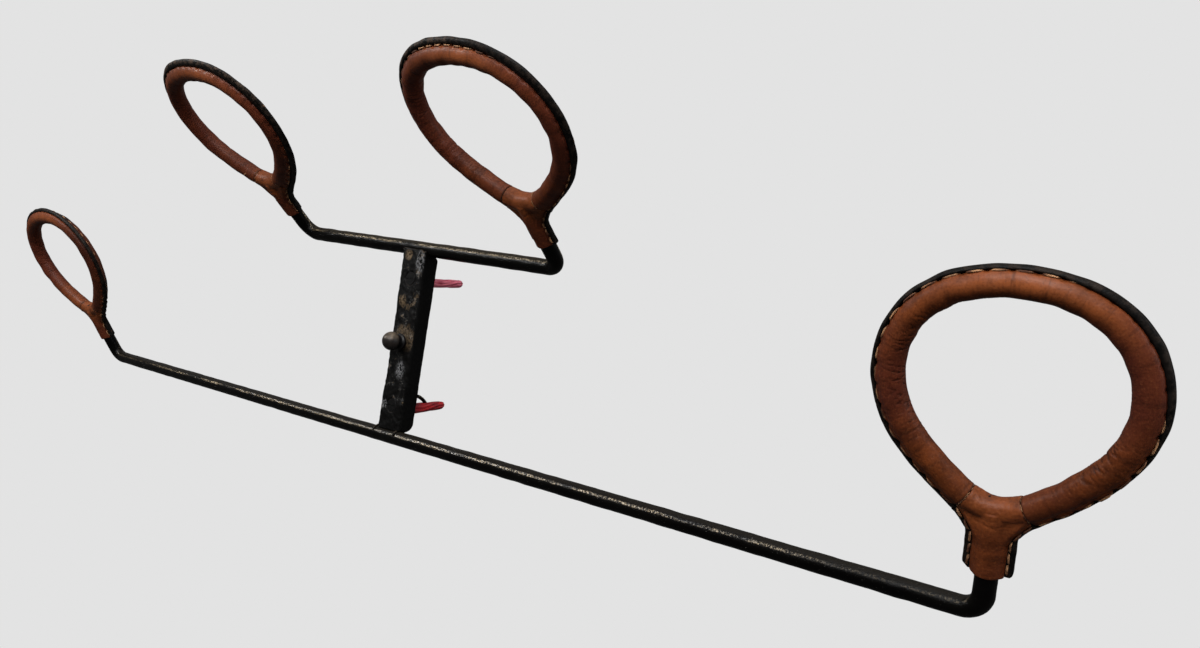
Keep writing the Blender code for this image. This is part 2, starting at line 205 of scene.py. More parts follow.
def make_object(name, verts, faces, mat, surface=None, wear=None):
    """A mesh object with faces pointing out. surface gives each vertex's place on its leather or metal
    (along and across, in metres) as a UV map, and wear how rubbed it is."""
    mesh = bpy.data.meshes.new(name)
    mesh.from_pydata(np.asarray(verts).tolist(), [], faces)
    edited(mesh, lambda bm: bmesh.ops.recalc_face_normals(bm, faces=bm.faces))
    mesh.shade_smooth()
    if surface is not None:
        add_surface(mesh, surface)
    mesh.materials.append(mat)
    obj = in_scene(name, mesh)
    if wear is not None:
        paint(obj, "wear", wear)
    return obj


def paint(obj, name, values):
    """Give each vertex a value that its finish reads under this name."""
    attribute = obj.data.attributes.new(name, "FLOAT", "POINT")
    attribute.data.foreach_set("value", np.asarray(values, np.float32).ravel())


def add_surface(mesh, surface):
    """Store each vertex's place on its leather or metal as a UV map."""
    corner_vertex = np.zeros(len(mesh.loops), np.int32)
    mesh.loops.foreach_get("vertex_index", corner_vertex)
    layer = mesh.uv_layers.new(name="surface")
    layer.data.foreach_set("uv", np.asarray(surface, np.float32)[corner_vertex].ravel())


def applied(obj):
    """Replace an object's mesh by what its modifiers make of it."""
    bpy.context.view_layer.update()
    graph = bpy.context.evaluated_depsgraph_get()
    mesh = bpy.data.meshes.new_from_object(obj.evaluated_get(graph))
    old = obj.data
    obj.modifiers.clear()
    obj.data = mesh
    mesh.name = obj.name
    bpy.data.meshes.remove(old)
    return obj


def melted(obj, voxel, rounds):
    """Rebuild an object's mesh as one even skin and round its corners."""
    melt = obj.modifiers.new("melt", "REMESH")
    melt.mode = "VOXEL"
    melt.voxel_size = voxel
    soften = obj.modifiers.new("soften", "SMOOTH")
    soften.factor = 0.5
    soften.iterations = rounds
    return applied(obj)


def fused(name, parts, voxel, rounds, mat):
    """Overlapping closed solids as one skin."""
    return melted(make_object(name, *join(parts), mat), voxel, rounds)


def vertex_data(mesh):
    """Places and normals of a mesh's vertices."""
    place = np.zeros(len(mesh.vertices) * 3)
    normal = np.zeros(len(mesh.vertices) * 3)
    mesh.vertices.foreach_get("co", place)
    mesh.vertices.foreach_get("normal", normal)
    return place.reshape(-1, 3), normal.reshape(-1, 3)


def push_out(mesh, height):
    """Move each vertex along its normal by height(places, normals)."""
    place, normal = vertex_data(mesh)
    place += normal * height(place, normal)[:, None]
    mesh.vertices.foreach_set("co", place.ravel())
    mesh.update()
    mesh.shade_smooth()


def path_frames(points):
    """Places and two cross axes along a path, without twisting."""
    tangents = np.gradient(points, axis=0)
    tangents /= np.linalg.norm(tangents, axis=1, keepdims=True)
    first = Vector(tangents[0])
    side = first.orthogonal().normalized()
    sides = []
    for tangent in tangents:
        new = Vector(tangent)
        side = first.rotation_difference(new) @ side
        side = (side - new * side.dot(new)).normalized()
        first = new
        sides.append(side)
    sides = np.array(sides)
    return sides, np.cross(tangents, sides)


def tube(points, radius, around):
    """A round tube along points; radius is a number, or one for each point or each vertex."""
    sides, ups = path_frames(points)
    turn = np.linspace(0, 2 * math.pi, around, endpoint=False)
    radius = np.broadcast_to(np.asarray(radius, float).reshape(-1, 1) if np.ndim(radius) == 1 else radius,
                             (len(points), around))
    spoke = np.cos(turn)[None, :, None] * sides[:, None] + np.sin(turn)[None, :, None] * ups[:, None]
    return points[:, None] + radius[..., None] * spoke


def resampled(points, step):
    """Points at even steps along a polyline."""
    points = np.asarray(points, float)
    along = np.concatenate([[0], np.cumsum(np.linalg.norm(np.diff(points, axis=0), axis=1))])
    count = max(2, int(round(along[-1] / step)) + 1)
    wanted = np.linspace(0, along[-1], count)
    return np.stack([np.interp(wanted, along, points[:, i]) for i in range(points.shape[1])], -1), wanted


def turned(profile, around, centre):
    """Grid of points from a profile of (radius, y) turned about the Y axis through centre."""
    turn = np.linspace(0, 2 * math.pi, around, endpoint=False)
    profile = np.array(profile)
    radius, y = profile[:, :1], profile[:, 1:]
    grid = np.stack([radius * np.cos(turn), np.broadcast_to(y, (len(profile), around)),
                     radius * np.sin(turn)], axis=-1)
    return grid + np.array(centre)


def place(obj, *nodes, slot=None):
    """Ride on the rack and stand for the named CAD nodes. The slot is not used."""
    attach(obj, "root")
    if nodes:
        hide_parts(*nodes)
    return obj


# ---------------------------------------------------------------- materials

def linear(red, green, blue):
    """A colour given as display values from 0 to 255, as the shader's linear values."""
    values = []
    for value in (red, green, blue):
        value /= 255
        values.append(value / 12.92 if value <= 0.04045 else ((value + 0.055) / 1.055) ** 2.4)
    return (*values, 1.0)


class Finish:
    """A material around one Principled shader. Short calls make the nodes that feed it, and cover lays one
    colour over another."""

    def __init__(self, name, shade):
        self.material = bpy.data.materials.new(name)
        self.material.use_nodes = True
        self.tree = self.material.node_tree
        self.shader = self.tree.nodes["Principled BSDF"]
        self.object_space = self.node("TexCoord", {}, output="Object")
        self.colour = linear(*shade)

    def feed(self, node, key, value):
        """Link an input to a socket, or set it to a plain value."""
        if isinstance(value, bpy.types.NodeSocket):
            self.tree.links.new(value, node.inputs[key])
        elif value is not None:
            node.inputs[key].default_value = value

    def node(self, kind, inputs, output=0, **settings):
        made = self.tree.nodes.new("ShaderNode" + kind)
        for key, value in settings.items():
            setattr(made, key, value)
        for key, value in inputs.items():
            self.feed(made, key, value)
        return made.outputs[output]

    def noise(self, size, detail=2.0, vector=None, rough=0.5, stretch=None):
        """Noise from 0 to 1 with features about size metres wide."""
        vector = self.object_space if vector is None else vector
        if stretch:
            vector = self.node("Mapping", {"Vector": vector, "Scale": stretch})
        inputs = {"Vector": vector, "Scale": 1 / size, "Detail": detail, "Roughness": rough}
        return self.node("TexNoise", inputs)

    def curve(self, value, low, high, out_low=0.0, out_high=1.0):
        """A value stretched from low..high to out_low..out_high, smoothly and clamped."""
        return self.node("MapRange", {"Value": value, "From Min": low, "From Max": high,
                                      "To Min": out_low, "To Max": out_high}, interpolation_type="SMOOTHSTEP")

    def math(self, operation, first, second=0.0):
        return self.node("Math", {0: first, 1: second}, operation=operation)

    def both(self, first, second):
        return self.math("MULTIPLY", first, second)

    def either(self, first, second):
        return self.math("MAXIMUM", first, second)

    def attribute(self, name):
        return self.node("Attribute", {}, output="Fac", attribute_name=name)

    def surface(self):
        return self.node("UVMap", {}, uv_map="surface")

    def at(self, axis):
        """Place along X, Y or Z (0, 1 or 2), in metres."""
        return self.node("SeparateXYZ", {0: self.object_space}, output=axis)

    def facing(self, axis):
        """How far a face looks along X, Y or Z, from -1 to 1."""
        normal = self.node("NewGeometry", {}, output="Normal")
        return self.node("SeparateXYZ", {0: normal}, output=axis)

    def cover(self, amount, *shade):
        """Lay a colour over the colour so far, wholly where amount is 1."""
        layers = {0: amount, 6: self.colour, 7: linear(*shade)}
        self.colour = self.node("Mix", layers, output=2, data_type="RGBA")

    def done(self, roughness, *relief, **sockets):
        """The material, with its colour, roughness and relief (heights, each with its depth in mm), and
        any other sockets, set."""
        bump = None
        for height, depth in relief:
            inputs = {"Height": height, "Distance": depth * MM, "Strength": 1.0, "Normal": bump}
            bump = self.node("Bump", inputs)
        sockets |= {"Base_Color": self.colour, "Roughness": roughness, "Normal": bump}
        for socket, value in sockets.items():
            self.feed(self.shader, socket.replace("_", " "), value)
        return self.material


def tan_leather():
    """Saddle leather: mottled brown with fine pores and folds across the loop; paler on top, partly from
    handling and partly as a painted highlight, with painted shade in the folds' valleys.
    """
    finish = Finish("tan_leather", (73, 34, 14))
    curve, both, cover = finish.curve, finish.both, finish.cover
    mottle = finish.noise(0.010, 5.0, rough=0.68)
    grain = finish.noise(0.0009, 4.0, rough=0.6)
    pores = finish.node("TexVoronoi", {"Vector": finish.object_space, "Scale": 1 / 0.0011}, output="Distance")
    folds = finish.noise(0.0030, 3.0, vector=finish.surface(), rough=0.6, stretch=(1.0, 0.16, 1.0))
    # Painted highlight as well as handling: a paler band over each loop's top and the yoke's upper part.
    handled_and_highlight = both(finish.attribute("handled_and_highlight"), curve(mottle, 0.20, 0.62, 0.5, 1.0))
    cover(curve(mottle, 0.32, 0.68), 112, 56, 25)
    cover(curve(finish.noise(0.034), 0.42, 0.66, 0.0, 0.65), 86, 41, 24)
    cover(both(finish.attribute("reddened"), 0.7), 88, 39, 29)
    cover(handled_and_highlight, 156, 84, 43)
    # Painted shade: darker in the valleys of the fine folds.
    cover(curve(folds, 0.28, 0.50, 0.50, 0.0), 44, 20, 11)
    # Painted shade in the deep creases; also darker along the seams and over the lower left loop's right arc.
    cover(both(finish.attribute("creased"), 0.85), 40, 18, 12)
    cover(curve(grain, 0.30, 0.50, 0.35, 0.0), 50, 24, 13)
    cover(curve(grain, 0.52, 0.76, 0.0, 0.28), 156, 96, 58)
    return finish.done(curve(mottle, 0.2, 0.8, 0.54, 0.36), (folds, 0.20), (pores, 0.05), (grain, 0.07),
                       Specular_IOR_Level=curve(handled_and_highlight, 0.1, 0.8, 0.12, 0.26),
                       Coat_Weight=0.03, Coat_Roughness=0.35)


def black_leather():
    """Black leather, rubbed to grey-brown where wear is painted on it and stained tan where browned."""
    finish = Finish("black_leather", (11, 10, 9))
    curve, cover = finish.curve, finish.cover
    grain = finish.noise(0.0008, 3.0)
    patches = finish.noise(0.0035, 5.0, rough=0.65)
    cover(curve(patches, 0.3, 0.8), 25, 21, 19)
    cover(finish.both(finish.attribute("wear"), curve(patches, 0.42, 0.60)), 76, 62, 52)
    cover(finish.attribute("browned"), 88, 48, 34)
    return finish.done(curve(patches, 0.2, 0.8, 0.42, 0.62), (patches, 0.12), (grain, 0.14),
                       Specular_IOR_Level=0.10)


def waxed_thread():
    """Waxed linen thread, soiled in places, with the slant of its twist."""
    finish = Finish("waxed_thread", (84, 50, 32))
    twist = finish.node("TexWave", {"Vector": finish.surface(), "Scale": 700.0, "Distortion": 0.4},
                        bands_direction="DIAGONAL")
    finish.cover(finish.curve(finish.noise(0.005, 3.0), 0.40, 0.66), 196, 146, 104)
    finish.cover(finish.both(twist, 0.35), 74, 44, 28)
    return finish.done(0.6, (twist, 0.12), Specular_IOR_Level=0.3)


def black_iron():
    """Black paint on iron rod: dusty on top, with pale chips laid only along the band near the bar where the
    lamp glints, partly chips and partly a painted glint.
    """
    finish = Finish("black_iron", (3, 2, 2))
    curve, both, cover = finish.curve, finish.both, finish.cover
    fine = finish.noise(0.0010, 5.0, rough=0.75)
    streaks = finish.noise(0.008, 5.0, rough=0.62, stretch=(0.22, 1.0, 1.0))
    up = finish.facing(2)
    from_bar = finish.math("ABSOLUTE", finish.at(0))
    # The band along the upper front where the lamp's glint runs, fading away from the bar.
    glint_band = both(curve(up, 0.24, 0.38), curve(up, 0.64, 0.50))
    glint_band = both(glint_band, curve(from_bar, 0.36, 0.26, 0.15, 1.0))
    chips_and_glint = both(curve(fine, 0.50, 0.56), both(glint_band, curve(streaks, 0.36, 0.56)))
    glossy = both(curve(fine, 0.46, 0.60), glint_band)
    dusty = both(curve(up, 0.45, 0.85), curve(fine, 0.2, 0.7, 0.30, 0.75))
    dusty = both(dusty, curve(finish.at(2), -20 * MM, 20 * MM, 0.28, 0.9))
    cover(curve(streaks, 0.3, 0.7), 7, 6, 5)
    cover(dusty, 62, 55, 45)
    # Painted glint as well as chips: pale flecks laid only within that band.
    cover(both(chips_and_glint, 0.9), 188, 168, 136)
    cover(both(curve(fine, 0.66, 0.70), 0.8), 128, 124, 120)
    return finish.done(curve(dusty, 0.0, 0.5, 0.28, 0.85), (streaks, 0.16), (fine, 0.16),
                       Specular_IOR_Level=curve(glossy, 0.0, 1.0, 0.12, 0.80))


def bar_iron():
    """The bar's black paint: flaked in chips to brown primer and scraped to bright metal on the front, smooth
    on the sides."""
    finish = Finish("bar_iron", (3, 3, 3))
    curve, both, either, cover = finish.curve, finish.both, finish.either, finish.cover
    fine = finish.noise(0.0013, 5.0, rough=0.7)
    patches = finish.noise(0.009, 5.0, rough=0.62)
    scrape = finish.noise(0.0042, 6.0, rough=0.7, stretch=(1.6, 1.0, 0.8))
    front = curve(finish.facing(1), -0.35, -0.8)
    across, height = finish.at(0), finish.at(2)

    def distance(x, z, squash=1.0):
        """How far from a place on the bar's front, given in mm, with heights scaled by squash."""
        rise = both(finish.math("SUBTRACT", height, z * MM), squash)
        offset = finish.node("CombineXYZ", {0: finish.math("SUBTRACT", across, x * MM), 1: 0.0, 2: rise})
        return finish.node("VectorMath", {0: offset}, output="Value", operation="LENGTH")

    def spot(x, z, outer, inner, squash=1.0):
        """1 within inner mm of a place, falling to 0 at outer mm."""
        return curve(distance(x, z, squash), outer * MM, inner * MM)

    def hair(value, middle, width):
        """1 along the thin line where value crosses middle."""
        return curve(finish.math("ABSOLUTE", finish.math("SUBTRACT", value, middle)), width, 0.3 * width)

    broken = curve(fine, 0.42, 0.56)
    chips = either(curve(patches, 0.60, 0.66), both(spot(-4.0, 29.0, 5.0, 2.5), curve(scrape, 0.40, 0.50)))
    under_rod = spot(-5.0, 60.5, 4.5, 2.5)
    ring = finish.math("ADD", distance(2.5, 1.5), curve(patches, 0.2, 0.8, -2.2 * MM, 2.2 * MM))
    knob_ring = both(curve(ring, 12.5 * MM, 9.5 * MM), curve(height, -7 * MM, 1 * MM))
    knob_ring = both(knob_ring, either(hair(fine, 0.50, 0.035), curve(fine, 0.56, 0.62)))
    arc = finish.math("ADD", distance(0.5, 33.0), curve(scrape, 0.2, 0.8, -4.0 * MM, 4.0 * MM))
    arcs = either(hair(arc, 9.0 * MM, 0.5 * MM), hair(arc, 7.2 * MM, 0.4 * MM))
    arcs = both(both(arcs, curve(height, 36 * MM, 32 * MM)), curve(scrape, 0.36, 0.50, 0.1, 1.0))
    arcs = both(arcs, curve(across, -7 * MM, -2 * MM))
    brown = either(either(both(chips, broken), knob_ring), either(both(under_rod, broken), arcs))
    scraped = either(either(spot(3.5, -19.0, 6.4, 2.0, 0.8), spot(7.5, 56.0, 5.6, 1.5, 0.45)),
                     either(spot(-8.0, -44.0, 4.0, 2.0), curve(patches, 0.52, 0.66, 0.0, 0.3)))
    silver = both(scraped, either(hair(scrape, 0.50, 0.016), hair(fine, 0.58, 0.012)))
    specks = both(curve(finish.noise(0.0009, 3.0), 0.65, 0.70), curve(patches, 0.45, 0.60))
    cover(curve(fine, 0.35, 0.7), 10, 9, 8)
    cover(both(brown, both(front, 0.9)), 112, 94, 72)
    cover(both(silver, both(front, 0.95)), 172, 172, 174)
    cover(both(specks, both(front, 0.8)), 140, 136, 128)
    cover(curve(finish.facing(2), 0.3, 0.9, 0.0, 0.7), 66, 56, 46)
    return finish.done(curve(patches, 0.3, 0.7, 0.45, 0.66), (patches, 0.30), (both(fine, front), 0.22),
                       Specular_IOR_Level=0.09)


def knob_bronze():
    """Dark bronze, with a painted highlight where it looks up and painted shade on the neck behind the ball.
    """
    finish = Finish("knob_bronze", (30, 27, 27))
    curve, cover = finish.curve, finish.cover
    rub = finish.noise(0.003, 4.0, rough=0.6)
    cover(curve(rub, 0.3, 0.7), 48, 41, 37)
    # Painted highlight: paler where it looks up.
    cover(finish.both(curve(finish.facing(2), 0.0, 0.7), curve(rub, 0.30, 0.65, 0.3, 0.9)), 112, 98, 82)
    # Painted shade on the neck behind the ball.
    rim = -BAR_DEPTH - KNOB_STAND
    cover(curve(finish.at(1), rim + 0.6 * MM, rim + 1.6 * MM), 15, 13, 14)
    return finish.done(0.40, (rub, 0.12), Metallic=0.35, Specular_IOR_Level=0.4)


def plug_plastic(name, bright, dark):
    finish = Finish(name, dark)
    flow = finish.noise(0.003, 3.0, stretch=(1.0, 0.3, 1.0))
    finish.cover(finish.curve(flow, 0.3, 0.7), *bright)
    return finish.done(0.35, (flow, 0.08), Specular_IOR_Level=0.5, Subsurface_Weight=0.2,
                       Subsurface_Scale=0.003, Subsurface_Radius=(1.0, 0.3, 0.25))


def painted_screw():
    finish = Finish("painted_screw", (5, 5, 5))
    wear = finish.noise(0.0012, 4.0)
    finish.cover(finish.curve(wear, 0.55, 0.68), 26, 23, 21)
    return finish.done(0.5, (wear, 0.06), Specular_IOR_Level=0.15)


TAN = tan_leather()
BLACK = black_leather()
THREAD = waxed_thread()
IRON = black_iron()
BAR_IRON = bar_iron()


# ---------------------------------------------------------------- layout

def rod_axis(rod):
    """A rod's middle and the direction along it."""
    half = ROD_SPACING / 2
    if rod == "lower":
        return Vector((LOWER_OFFSET, ROD_Y, -half)), Vector((1, 0, 0))
    return Vector((0, UPPER_Y, half)), Vector((math.cos(UPPER_SLOPE), 0, -math.sin(UPPER_SLOPE)))


class Loop:
    """One loop's place and outline."""

    def __init__(self, key):
        rod, side, tilt, lean, turn, self.height, self.width = LOOPS[key]
        origin, along = rod_axis(rod)
        self.key, self.rod, self.side = key, rod, side
        self.seed = 10 * list(LOOPS).index(key)
        self.sewing = SEWING[key]
        self.corner = origin + along * side * (LOWER_HALF if rod == "lower" else UPPER_HALF)
        self.turn = (Matrix.Rotation(math.radians(tilt), 3, "X") @ Matrix.Rotation(math.radians(lean), 3, "Y")
                     @ Matrix.Rotation(math.radians(turn), 3, "Z"))
        self.matrix = Matrix.Translation(self.corner) @ self.turn.to_4x4()
        self.angles = np.linspace(0, 2 * math.pi, 2001)
        steps = np.linalg.norm(np.diff(self.line(self.angles), axis=0), axis=1)
        self.lengths = np.concatenate([[0], np.cumsum(steps)])

    def line(self, angle):
        """Centre line at angles measured round from the loop's foot."""
        angle = np.asarray(angle, float)
        radius = (RING_MEAN - RING_TOP_HEAVY * np.cos(angle) - RING_FLAT * np.cos(2 * angle)
                  + RING_SHOULDER * np.cos(3 * angle))
        return np.stack([radius * np.sin(angle) * self.width, 0 * angle,
                         (RING_CENTRE - radius * np.cos(angle)) * self.height], axis=-1)

    def out(self, angle):
        """Unit direction out of the ring."""
        small = 1e-3
        run = self.line(np.asarray(angle) + small) - self.line(np.asarray(angle) - small)
        out = np.stack([run[..., 2], 0 * run[..., 0], -run[..., 0]], axis=-1)
        return out / np.linalg.norm(out, axis=-1, keepdims=True)

    def along_edge(self, values, angle):
        """A value that eases between four places round the loop: lower right, upper right, top and left."""
        places = [-80, 50, 130, 180, 280, 410]
        first, second, third, last = values
        around = [last, first, second, third, last, first]
        degrees = (np.degrees(angle) + 80) % 360 - 80
        above = np.clip(np.searchsorted(places, degrees, side="right"), 1, 5)
        low, high = np.take(places, above - 1), np.take(places, above)
        ease = smoothstep(0, 1, (degrees - low) / (high - low))
        return (np.take(around, above - 1) * (1 - ease) + np.take(around, above) * ease) * MM

    def tip(self, angle):
        """How far the sewn edge stands out from the core."""
        from_foot = np.abs((np.degrees(angle) + 180) % 360 - 180)
        return self.along_edge(self.sewing["edge"], angle) + 1.2 * MM * bell(from_foot, 20, 7)

    def groove(self, angle):
        """How far out the stitch line lies."""
        return self.along_edge(self.sewing["stitch"], angle)

    def groove_rise(self, angle):
        """How far the stitch line lies in front of the core."""
        return 2.0 * MM + 0.3 * (self.groove(angle) - 5.6 * MM)

    def within(self, name, angle, blur=9):
        """1 inside the named stretch of the loop, easing to 0 at its ends."""
        first, last = self.sewing[name]
        degrees = np.degrees(angle) % 360
        return smoothstep(first - blur, first + blur, degrees) * smoothstep(last + blur, last - blur, degrees)

    def creases(self, angle):
        """How deep the leather's folds are."""
        degrees = np.degrees(angle) % 360
        return 0.08 + sum(depth * bell(degrees, middle, spread)
                          for middle, spread, depth in self.sewing["creased"])

    def run(self, angle):
        """Length along the core from the foot."""
        return np.interp(angle, self.angles, self.lengths)

    def angle_at(self, run):
        """The angle at a length along the core."""
        return np.interp(run, self.lengths, self.angles)

    def swept(self, angle, section):
        """Points of a section, shaped (rows, columns, 2) as (e, n), carried round the loop."""
        centre, out = self.line(angle)[:, None], self.out(angle)[:, None]
        return centre + out * section[..., :1] + FRONT * section[..., 1:]

    def points(self, angle, e, n):
        """One point at each angle."""
        return self.line(angle) + self.out(angle) * e[:, None] + FRONT * n[:, None]

    def move(self, obj):
        """Bring an object from the loop's own frame to its place."""
        obj.data.transform(self.matrix)
        obj.data.update()
        return obj


# ---------------------------------------------------------------- iron work

def fillet(corner, toward_first, toward_last, radius, steps=14):
    """Points of an arc that rounds a corner."""
    angle = toward_first.angle(toward_last)
    reach = radius / math.tan(angle / 2)
    centre = corner + (toward_first + toward_last).normalized() * (radius / math.sin(angle / 2))
    first = corner + toward_first * reach - centre
    turn = first.rotation_difference(corner + toward_last * reach - centre)
    return [centre + Quaternion().slerp(turn, i / steps) @ first for i in range(steps + 1)]


def make_rod(name, rod, loops):
    """One rod with both stems, slightly uneven as forged bar is."""
    along = rod_axis(rod)[1]
    at_end = {loop.side: loop for loop in loops if loop.rod == rod}
    points = []
    for side in (-1, 1):
        loop = at_end[side]
        stem = loop.turn @ Vector((0, 0, 1))
        top = loop.line(0.0)[2] - SKIN_IN - GAP
        bend = fillet(loop.corner, stem, -along * side, ROD_BEND)
        run = [loop.corner + stem * top] + bend
        points += run if side < 0 else run[::-1]
    points, length = resampled(points, 1.5 * MM)
    around = 44
    grid = tube(points, ROD_R, around)
    bumps = ripple(grid, 22 * MM, 3) * 0.06 * MM + ripple(grid, 5 * MM, 4) * 0.02 * MM
    grid = tube(points, ROD_R + bumps - 0.05 * MM, around)
    girth = np.linspace(0, 2 * math.pi * ROD_R, around)
    obj = make_object(name, *skin(grid), IRON, laid_out(length, girth))
    return place(obj, rod + "_rod", slot="black_iron")


def make_bar():
    """The bar, from its CAD solid with worn edges, a hammered face and a flare at both ends on the left."""
    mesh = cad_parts["mounting_bar"].data.copy()
    edited(mesh, lambda bm: bmesh.ops.remove_doubles(bm, verts=bm.verts, dist=1e-6))
    mesh.materials.clear()
    mesh.materials.append(BAR_IRON)
    bar = melted(in_scene("forged_bar", mesh), 0.45 * MM, 4)

    def hammered(spots, normal):
        front = smoothstep(0.3, 0.9, -normal[:, 1])
        dents = ripple(spots, 11 * MM, 21) * 0.16 * MM + ripple(spots, 4 * MM, 22) * 0.07 * MM
        return dents * (0.35 + 0.65 * front)

    push_out(bar.data, hammered)
    spots, _ = vertex_data(bar.data)
    left = smoothstep(2 * MM, -8 * MM, spots[:, 0])
    spots[:, 0] -= left * BAR_FLARE * smoothstep(18 * MM, 60 * MM, np.abs(spots[:, 2]))
    bar.data.vertices.foreach_set("co", spots.ravel())
    return place(bar, "mounting_bar", slot="black_iron")


def make_welds():
    """Beads along the joints between the bar and the rods."""
    rng = np.random.default_rng(31)
    parts = []
    for rod in ("lower", "upper"):
        origin, along = rod_axis(rod)
        inward = 1 if rod == "lower" else -1
        for side in (-1, 1):
            for step in range(13):
                turn = math.radians(-62 + 124 * step / 12 + rng.uniform(-3, 3))
                centre = origin + along * side * (BAR_WIDTH / 2 - 0.1 * MM)
                centre += Vector((0, math.sin(turn), inward * math.cos(turn))) * (ROD_R + 0.25 * MM)
                size = rng.uniform(0.85, 1.25) * MM
                profile = [(size * math.sin(math.pi * i / 8) + AXIS, -size * math.cos(math.pi * i / 8))
                           for i in range(9)]
                parts.append(skin(turned(profile, 10, centre)))
    beads = fused("weld_beads", parts, 0.3 * MM, 3, BAR_IRON)
    return place(beads, slot="black_iron")


def make_knob():
    """Ball-headed bronze knob with a crisp rim behind the ball, a neck and a collar."""
    profile = [(AXIS, -KNOB_STAND - KNOB_R)]
    for degrees in range(6, 96, 6):
        forward, radius = polar(KNOB_R, degrees)
        profile.append((radius, -KNOB_STAND - forward))
    neck = KNOB_NECK_R
    for radius, rise in ((0.0, 0.5), (-0.02, 0.9), (-0.25, 1.2), (-0.8, 1.35), (-1.2, 1.9)):
        profile.append((KNOB_R + radius * MM, -KNOB_STAND + rise * MM))
    profile += [(neck + 0.10 * MM, -3.0 * MM), (neck - 0.15 * MM, -2.5 * MM), (neck + 0.2 * MM, -2.1 * MM),
                (neck + 0.95 * MM, -1.9 * MM), (neck + 1.15 * MM, -1.5 * MM), (neck + 1.15 * MM, -0.4 * MM),
                (neck + 0.9 * MM, -0.05 * MM), (AXIS, -0.05 * MM)]
    grid = turned(profile, 48, (0, -BAR_DEPTH, 0))
    knob = make_object("bronze_knob", *skin(grid), knob_bronze())
    return place(knob, "knob", slot="knob_bronze")


def make_screw(level, mat):
    """A countersunk screw, its head painted over; behind the bar it lies along its plug."""
    z, drop, rise = FIXINGS[level]
    head = 0.05 * MM
    profile = [(AXIS, head), (SCREW_HEAD_R - 0.1 * MM, head), (SCREW_HEAD_R + 0.05 * MM, head + 0.15 * MM),
               (SCREW_R, head + 2.7 * MM)]
    for turn in range(24):
        y = head + 3 * MM + turn * 1.2 * MM
        profile += [(SCREW_R - 0.25 * MM, y), (SCREW_R, y + 0.6 * MM)]
    profile.append((AXIS, BAR_DEPTH + 32 * MM))
    grid = turned(profile, 32, (0, -BAR_DEPTH, z))
    behind = grid[..., 1] - PLUG_START
    grid[..., 2] += np.clip(behind, 0, None) * rise - drop * smoothstep(-PLUG_START, 0, behind)
    screw = make_object(level + "_screw", *skin(grid), mat)

    def slot_box(bm):
        bmesh.ops.create_cube(bm, size=1.0)
        bmesh.ops.scale(bm, vec=SLOT_SIZE, verts=bm.verts)
        bmesh.ops.translate(bm, vec=(0, -BAR_DEPTH, z), verts=bm.verts)

    slot = bpy.data.meshes.new("slot")
    edited(slot, slot_box)
    cutter = in_scene("slot", slot)
    cut = screw.modifiers.new("slot", "BOOLEAN")
    cut.operation, cut.solver, cut.object = "DIFFERENCE", "EXACT", cutter
    applied(screw)
    bpy.data.objects.remove(cutter)
    screw.data.set_sharp_from_angle(angle=math.radians(40))
    return place(screw, level + "_wall_screw", slot="screw_steel")


def make_plug(level, swell, mat):
    """A ribbed wall plug whose ribs twist a little; next to the bar it is swell times its usual size."""
    z, drop, rise = FIXINGS[level]
    length = PLUG_END - PLUG_START
    along = np.linspace(0, 1, 60)[:, None]
    turn = np.linspace(0, 2 * math.pi, 72, endpoint=False)[None, :]
    nose = np.sqrt(np.clip(1 - (np.clip(along - 0.86, 0, 1) / 0.14) ** 2, 0, 1))
    taper = PLUG_R * (swell - (swell - 0.9) * along) * (0.35 + 0.65 * nose)
    twist = turn + 0.5 * np.sin(along * 5.0)
    ribs = 0.30 * MM * np.cos(8 * twist) * (0.3 + 0.7 * nose)
    slit = 0.7 * MM * bell(np.sin(turn / 2 + 0.9), 0, 0.10) * smoothstep(0.25, 0.4, along)
    radius = taper + ribs - 0.3 * MM - slit
    lift = rise * along * length - drop
    grid = np.stack([radius * np.cos(turn), np.broadcast_to(PLUG_START + along * length, radius.shape),
                     z + lift + radius * np.sin(turn)], axis=-1)
    plug = make_object(level + "_plug", *skin(grid), mat)
    return place(plug, level + "_wall_plug", slot="plug_red")


def make_wire():
    """The short black wire behind the bar, hooked down onto the lower plug."""
    z = -FIXING_Z + PLUG_R - 1.2 * MM
    side_view = [(0.3, 5.2), (3, 5.7), (7, 5.6), (11, 4.8), (14, 3.4), (16.5, 1.6), (17.6, 0.4)]
    points = np.array([(0.0, y * MM, z + rise * MM) for y, rise in side_view])
    points, _ = resampled(points, 0.5 * MM)
    wire = make_object("wire_hook", *skin(tube(points, 1.3 * MM, 14)), IRON)
    return place(wire, "rear_wire_tab", slot="black_iron")


# ---------------------------------------------------------------- leather loops

def pinch(run, pitch, start):
    """1 at each stitch hole along a run, falling to 0 between holes."""
    return bell((run - start + pitch / 2) % pitch - pitch / 2, 0, 0.95 * MM)


def section_rows(columns, rows):
    """Stack profile columns, each an (e, n) pair of numbers or of rows, into a (rows, columns, 2) array."""
    return np.stack([np.stack(np.broadcast_arrays(e, n, np.zeros(rows))[:2], -1) for e, n in columns], axis=1)


